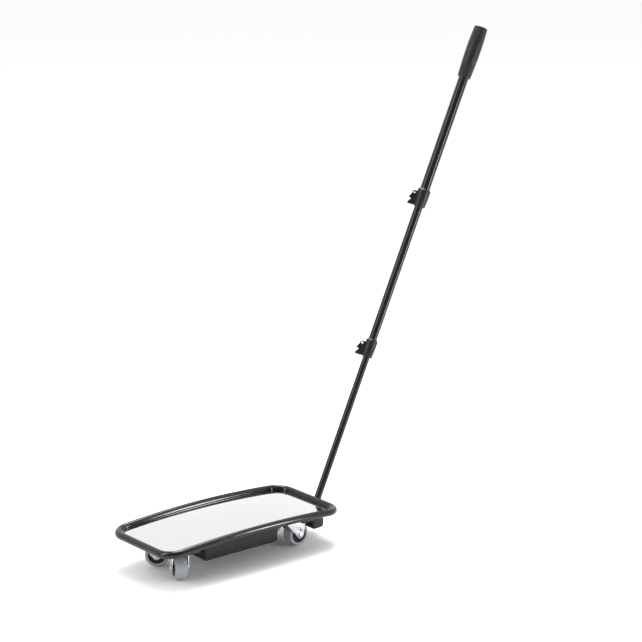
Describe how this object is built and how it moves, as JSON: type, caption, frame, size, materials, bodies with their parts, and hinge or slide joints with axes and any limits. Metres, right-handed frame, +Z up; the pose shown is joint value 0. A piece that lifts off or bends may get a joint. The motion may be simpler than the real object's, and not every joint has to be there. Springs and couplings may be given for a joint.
{
  "type": "wheeled under-vehicle inspection mirror",
  "caption": "Convex mirror in a black tube frame on swivel casters, pushed with a telescopic pole that has flip clamps and a barrel grip.",
  "frame": {"origin": "on the floor under the middle of the overall length", "axes": "+X along the mirror toward the pole, +Y across the mirror, +Z up"},
  "size_m": [0.9762, 0.226, 1.0804],
  "materials": {
    "frame": "gloss",
    "mirror": "polished",
    "underside": "satin",
    "pole": "semi-gloss",
    "ballast": "rough",
    "hardware": "zinc plated",
    "caster_steel": "zinc plated",
    "hub": "matte",
    "tyre": "satin",
    "plastic": "satin",
    "grip": "ribbed"
  },
  "bodies": {
    "chassis": {"frame_tube": "frame", "mirror_panel": "mirror", "deck_plate": "underside", "cross_bar_left": "underside", "cross_bar_right": "underside", "ballast_housing": "underside", "ballast_bar": "ballast", "housing_bolt_1": "hardware", "housing_bolt_2": "hardware", "housing_bolt_3": "hardware", "housing_bolt_4": "hardware", "foot_bracket": "underside", "pivot_clevis": "pole", "clevis_rivet_near": "hardware", "clevis_rivet_far": "hardware", "pivot_bolt": "hardware", "pivot_nut": "hardware", "caster_front_left_plate": "caster_steel", "caster_front_left_king_pin": "caster_steel", "caster_back_left_plate": "caster_steel", "caster_back_left_king_pin": "caster_steel", "caster_front_right_plate": "caster_steel", "caster_front_right_king_pin": "caster_steel", "caster_back_right_plate": "caster_steel", "caster_back_right_king_pin": "caster_steel"},
    "fork_front_left": {"caster_front_left_fork": "caster_steel", "caster_front_left_axle": "caster_steel"},
    "wheel_front_left": {"caster_front_left_hub": "hub", "caster_front_left_tyre": "tyre"},
    "fork_back_left": {"caster_back_left_fork": "caster_steel", "caster_back_left_axle": "caster_steel"},
    "wheel_back_left": {"caster_back_left_hub": "hub", "caster_back_left_tyre": "tyre"},
    "fork_front_right": {"caster_front_right_fork": "caster_steel", "caster_front_right_axle": "caster_steel"},
    "wheel_front_right": {"caster_front_right_hub": "hub", "caster_front_right_tyre": "tyre"},
    "fork_back_right": {"caster_back_right_fork": "caster_steel", "caster_back_right_axle": "caster_steel"},
    "wheel_back_right": {"caster_back_right_hub": "hub", "caster_back_right_tyre": "tyre"},
    "pole_lower": {"pole_knuckle": "hardware", "lower_tube": "pole", "lower_bush": "plastic"},
    "pole_middle": {"middle_tube": "pole", "middle_bush": "plastic", "clamp_collar_lower": "plastic", "clamp_pin_lower": "hardware"},
    "pole_upper": {"upper_tube": "pole", "upper_tube_cap": "plastic", "grip": "grip", "clamp_collar_upper": "plastic", "clamp_pin_upper": "hardware"},
    "lever_lower": {"clamp_lever_lower": "plastic"},
    "lever_upper": {"clamp_lever_upper": "plastic"}
  },
  "joints": [
    {"name": "swivel_front_left", "type": "hinge", "parent": "chassis", "child": "fork_front_left", "pos_m": [-0.4147, -0.047, 0.061], "axis": [0, 0, 1], "continuous": true},
    {"name": "spin_front_left", "type": "hinge", "parent": "fork_front_left", "child": "wheel_front_left", "pos_m": [-0.41883, -0.05611, 0.0265], "axis": [-0.9107, 0.4131, 0], "continuous": true},
    {"name": "swivel_back_left", "type": "hinge", "parent": "chassis", "child": "fork_back_left", "pos_m": [-0.4147, 0.047, 0.061], "axis": [0, 0, 1], "continuous": true},
    {"name": "spin_back_left", "type": "hinge", "parent": "fork_back_left", "child": "wheel_back_left", "pos_m": [-0.40697, 0.04065, 0.0265], "axis": [-0.6347, -0.7727, 0], "continuous": true},
    {"name": "swivel_front_right", "type": "hinge", "parent": "chassis", "child": "fork_front_right", "pos_m": [-0.1072, -0.047, 0.061], "axis": [0, 0, 1], "continuous": true},
    {"name": "spin_front_right", "type": "hinge", "parent": "fork_front_right", "child": "wheel_front_right", "pos_m": [-0.0972, -0.047, 0.0265], "axis": [0, -1, 0], "continuous": true},
    {"name": "swivel_back_right", "type": "hinge", "parent": "chassis", "child": "fork_back_right", "pos_m": [-0.1072, 0.047, 0.061], "axis": [0, 0, 1], "continuous": true},
    {"name": "spin_back_right", "type": "hinge", "parent": "fork_back_right", "child": "wheel_back_right", "pos_m": [-0.09854, 0.042, 0.0265], "axis": [-0.5, -0.866, 0], "continuous": true},
    {"name": "pole_tilt", "type": "hinge", "parent": "chassis", "child": "pole_lower", "pos_m": [-0.00885, 0, 0.046], "axis": [0, 1, 0], "range_deg": [0, 60]},
    {"name": "middle_slide", "type": "slide", "parent": "pole_lower", "child": "pole_middle", "axis": [0.4256, 0, 0.9049], "range_m": [-0.28, 0]},
    {"name": "upper_slide", "type": "slide", "parent": "pole_middle", "child": "pole_upper", "axis": [0.4256, 0, 0.9049], "range_m": [-0.3, 0]},
    {"name": "lever_lower_hinge", "type": "hinge", "parent": "pole_middle", "child": "lever_lower", "pos_m": [0.14256, 0.01311, 0.40213], "axis": [0.6055, 0.7431, -0.2848], "range_deg": [0, 100]},
    {"name": "lever_upper_hinge", "type": "hinge", "parent": "pole_upper", "child": "lever_upper", "pos_m": [0.29306, 0.01311, 0.7221], "axis": [0.6055, 0.7431, -0.2848], "range_deg": [0, 100]}
  ]
}
